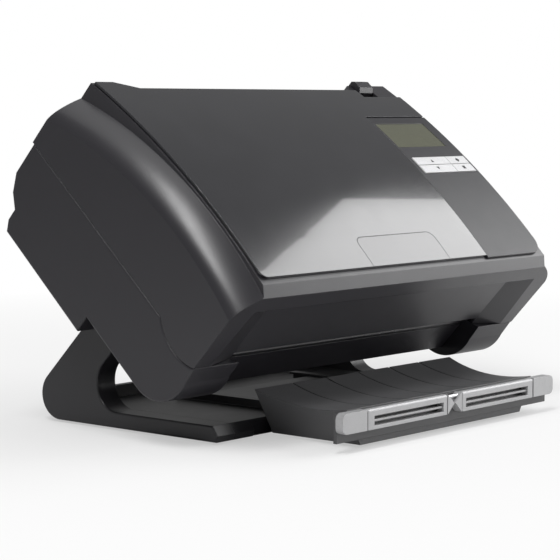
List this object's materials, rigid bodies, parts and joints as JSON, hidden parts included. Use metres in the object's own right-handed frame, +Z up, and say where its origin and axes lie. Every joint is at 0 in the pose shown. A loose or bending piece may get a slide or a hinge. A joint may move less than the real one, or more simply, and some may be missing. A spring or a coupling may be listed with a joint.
{
  "type": "document scanner",
  "caption": "Sheet-fed desktop document scanner that leans back on two base arms, with a front cover that opens over the paper path, an input tray and an output tray.",
  "frame": {"origin": "centre of the overall box at the bottom, on the desk", "axes": "+Z up, +Y to the rear, the front cover faces -Y, +X to the side with the buttons"},
  "size_m": [0.33, 0.233, 0.2204],
  "materials": {
    "base_plastic": "satin, fine grain",
    "casing_plastic": "satin, fine grain",
    "cover_plastic": "satin",
    "panel_gloss": "gloss",
    "pad_gloss": "gloss",
    "strip_plastic": "dull",
    "display_glass": "clear over a green-grey display",
    "button_silver": "silver paint",
    "tray_plastic": "satin",
    "stop_silver": "silver paint",
    "steel": "plain steel",
    "chassis_steel": "zinc coat",
    "rubber": "dull",
    "guide_plastic": "dull",
    "sensor_plastic": "dull",
    "sensor_glass": "clear",
    "board": "circuit board",
    "socket": "dull"
  },
  "bodies": {
    "base": {"base_plate": "base_plastic", "base_arm_left": "base_plastic", "base_arm_right": "base_plastic", "rubber_feet": "rubber", "base_screws": "steel"},
    "output_tray": {"output_tray": "tray_plastic"},
    "tray_extension": {"tray_extension": "stop_silver", "stop_end_caps": "stop_silver", "stop_centre_joint": "stop_silver", "stop_hinge_rod": "steel"},
    "end_stop_left": {"end_stop_left": "stop_silver"},
    "end_stop_right": {"end_stop_right": "stop_silver"},
    "body": {"casing_left": "casing_plastic", "casing_right": "casing_plastic", "rear_cover": "casing_plastic", "casing_screws": "steel", "chassis_plates": "chassis_steel", "lower_guide": "guide_plastic", "lower_sensor": "sensor_plastic", "lower_glass": "sensor_glass", "shaft_bushes": "guide_plastic", "motor": "steel", "drive_belt": "rubber", "main_board": "board", "io_board": "board", "power_inlet": "socket", "usb_port": "socket"},
    "feed": {"feed_shaft": "steel", "feed_rollers": "rubber"},
    "drive": {"drive_shaft": "steel", "drive_rollers": "rubber"},
    "exit": {"exit_shaft": "steel", "exit_rollers": "rubber"},
    "motor_pulley": {"motor_pulley": "steel"},
    "power_button": {"power_button": "casing_plastic"},
    "cover": {"cover_shell": "cover_plastic", "cover_corners": "cover_plastic", "glossy_panel": "panel_gloss", "finger_pad": "pad_gloss", "control_strip": "strip_plastic", "display_window": "display_glass", "button_board": "board", "upper_guide": "guide_plastic", "upper_glass": "sensor_glass", "upper_sensor": "sensor_plastic", "cover_hinge_pins": "steel"},
    "up_button": {"up_button": "button_silver"},
    "down_button": {"down_button": "button_silver"},
    "start_button": {"start_button": "button_silver"},
    "stop_button": {"stop_button": "button_silver"},
    "middle_idlers": {"middle_idlers": "rubber"},
    "exit_idlers": {"exit_idlers": "rubber"},
    "separation_roller": {"separation_roller": "rubber"},
    "latch": {"latch_bar": "steel", "release_lever": "casing_plastic"},
    "input_tray": {"input_tray": "casing_plastic"},
    "input_extension": {"input_extension": "casing_plastic"},
    "side_guide_left": {"side_guide_left": "casing_plastic"},
    "side_guide_right": {"side_guide_right": "casing_plastic"},
    "guide_pinion": {"guide_pinion": "casing_plastic"}
  },
  "joints": [
    {"name": "output_tray_slide", "type": "slide", "parent": "base", "child": "output_tray", "axis": [0, -1, 0], "range_m": [0, 0.035]},
    {"name": "tray_extension_slide", "type": "slide", "parent": "output_tray", "child": "tray_extension", "axis": [0, -1, 0], "range_m": [0, 0.045]},
    {"name": "end_stop_left_flip", "type": "hinge", "parent": "tray_extension", "child": "end_stop_left", "pos_m": [0, -0.11405, 0.0225], "axis": [-1, 0, 0], "range_deg": [0, 170]},
    {"name": "end_stop_right_flip", "type": "hinge", "parent": "tray_extension", "child": "end_stop_right", "pos_m": [0, -0.11405, 0.0225], "axis": [-1, 0, 0], "range_deg": [0, 170]},
    {"name": "body_tilt", "type": "hinge", "parent": "base", "child": "body", "pos_m": [0, 0.02614, 0.09488], "axis": [-1, 0, 0], "range_deg": [-22, 0]},
    {"name": "drive_spin", "type": "hinge", "parent": "body", "child": "drive", "pos_m": [0, 0.04077, 0.12029], "axis": [1, 0, 0], "continuous": true},
    {"name": "feed_spin", "type": "hinge", "parent": "body", "child": "feed", "pos_m": [0, 0.07452, 0.15154], "axis": [1, 0, 0], "continuous": true},
    {"name": "exit_spin", "type": "hinge", "parent": "body", "child": "exit", "pos_m": [0, -0.01389, 0.06967], "axis": [1, 0, 0], "continuous": true},
    {"name": "motor_spin", "type": "hinge", "parent": "body", "child": "motor_pulley", "pos_m": [0, 0.01602, 0.07637], "axis": [1, 0, 0], "continuous": true},
    {"name": "power_button_press", "type": "slide", "parent": "body", "child": "power_button", "axis": [0, -0.6794, 0.7337], "range_m": [0, 0.0012], "stiffness_N_per_m": 300},
    {"name": "cover_open", "type": "hinge", "parent": "body", "child": "cover", "pos_m": [0, -0.05516, 0.08406], "axis": [1, 0, 0], "range_deg": [0, 50]},
    {"name": "up_button_press", "type": "slide", "parent": "cover", "child": "up_button", "axis": [0, 0.6794, -0.7337], "range_m": [0, 0.0008], "stiffness_N_per_m": 300},
    {"name": "down_button_press", "type": "slide", "parent": "cover", "child": "down_button", "axis": [0, 0.6794, -0.7337], "range_m": [0, 0.0008], "stiffness_N_per_m": 300},
    {"name": "start_button_press", "type": "slide", "parent": "cover", "child": "start_button", "axis": [0, 0.6794, -0.7337], "range_m": [0, 0.0008], "stiffness_N_per_m": 300},
    {"name": "stop_button_press", "type": "slide", "parent": "cover", "child": "stop_button", "axis": [0, 0.6794, -0.7337], "range_m": [0, 0.0008], "stiffness_N_per_m": 300},
    {"name": "middle_idler_spin", "type": "hinge", "parent": "cover", "child": "middle_idlers", "pos_m": [0, 0.03105, 0.13078], "axis": [1, 0, 0], "continuous": true},
    {"name": "exit_idler_spin", "type": "hinge", "parent": "cover", "child": "exit_idlers", "pos_m": [0, -0.02361, 0.08016], "axis": [1, 0, 0], "continuous": true},
    {"name": "separation_spin", "type": "hinge", "parent": "cover", "child": "separation_roller", "pos_m": [0, 0.06345, 0.1635], "axis": [1, 0, 0], "continuous": true},
    {"name": "latch_turn", "type": "hinge", "parent": "cover", "child": "latch", "pos_m": [0, 0.05857, 0.18938], "axis": [1, 0, 0], "range_deg": [0, 12], "stiffness_Nm_per_rad": 0.3},
    {"name": "input_tray_unfold", "type": "hinge", "parent": "body", "child": "input_tray", "pos_m": [0, 0.10853, 0.12688], "axis": [1, 0, 0], "range_deg": [0, 160]},
    {"name": "input_extension_slide", "type": "slide", "parent": "input_tray", "child": "input_extension", "axis": [0, -0.7337, -0.6794], "range_m": [0, 0.045]},
    {"name": "guide_left_slide", "type": "slide", "parent": "input_tray", "child": "side_guide_left", "axis": [1, 0, 0], "range_m": [0, 0.055]},
    {"name": "guide_right_slide", "type": "slide", "parent": "input_tray", "child": "side_guide_right", "axis": [-1, 0, 0], "range_m": [0, 0.055]},
    {"name": "guide_pinion_turn", "type": "hinge", "parent": "input_tray", "child": "guide_pinion", "pos_m": [0, 0.09264, 0.11285], "axis": [0, -0.6794, 0.7337], "range_deg": [-425, 0]}
  ],
  "couplings": [
    {"joint": "feed_spin", "follows": "drive_spin", "ratio": 1},
    {"joint": "exit_spin", "follows": "drive_spin", "ratio": 1},
    {"joint": "motor_spin", "follows": "drive_spin", "ratio": 1.2286},
    {"joint": "middle_idler_spin", "follows": "drive_spin", "ratio": -1.3333},
    {"joint": "exit_idler_spin", "follows": "drive_spin", "ratio": -1.3333},
    {"joint": "separation_spin", "follows": "drive_spin", "ratio": -1},
    {"joint": "guide_right_slide", "follows": "guide_left_slide", "ratio": 1},
    {"joint": "guide_pinion_turn", "follows": "guide_left_slide", "rad_per_m": -133.33}
  ]
}
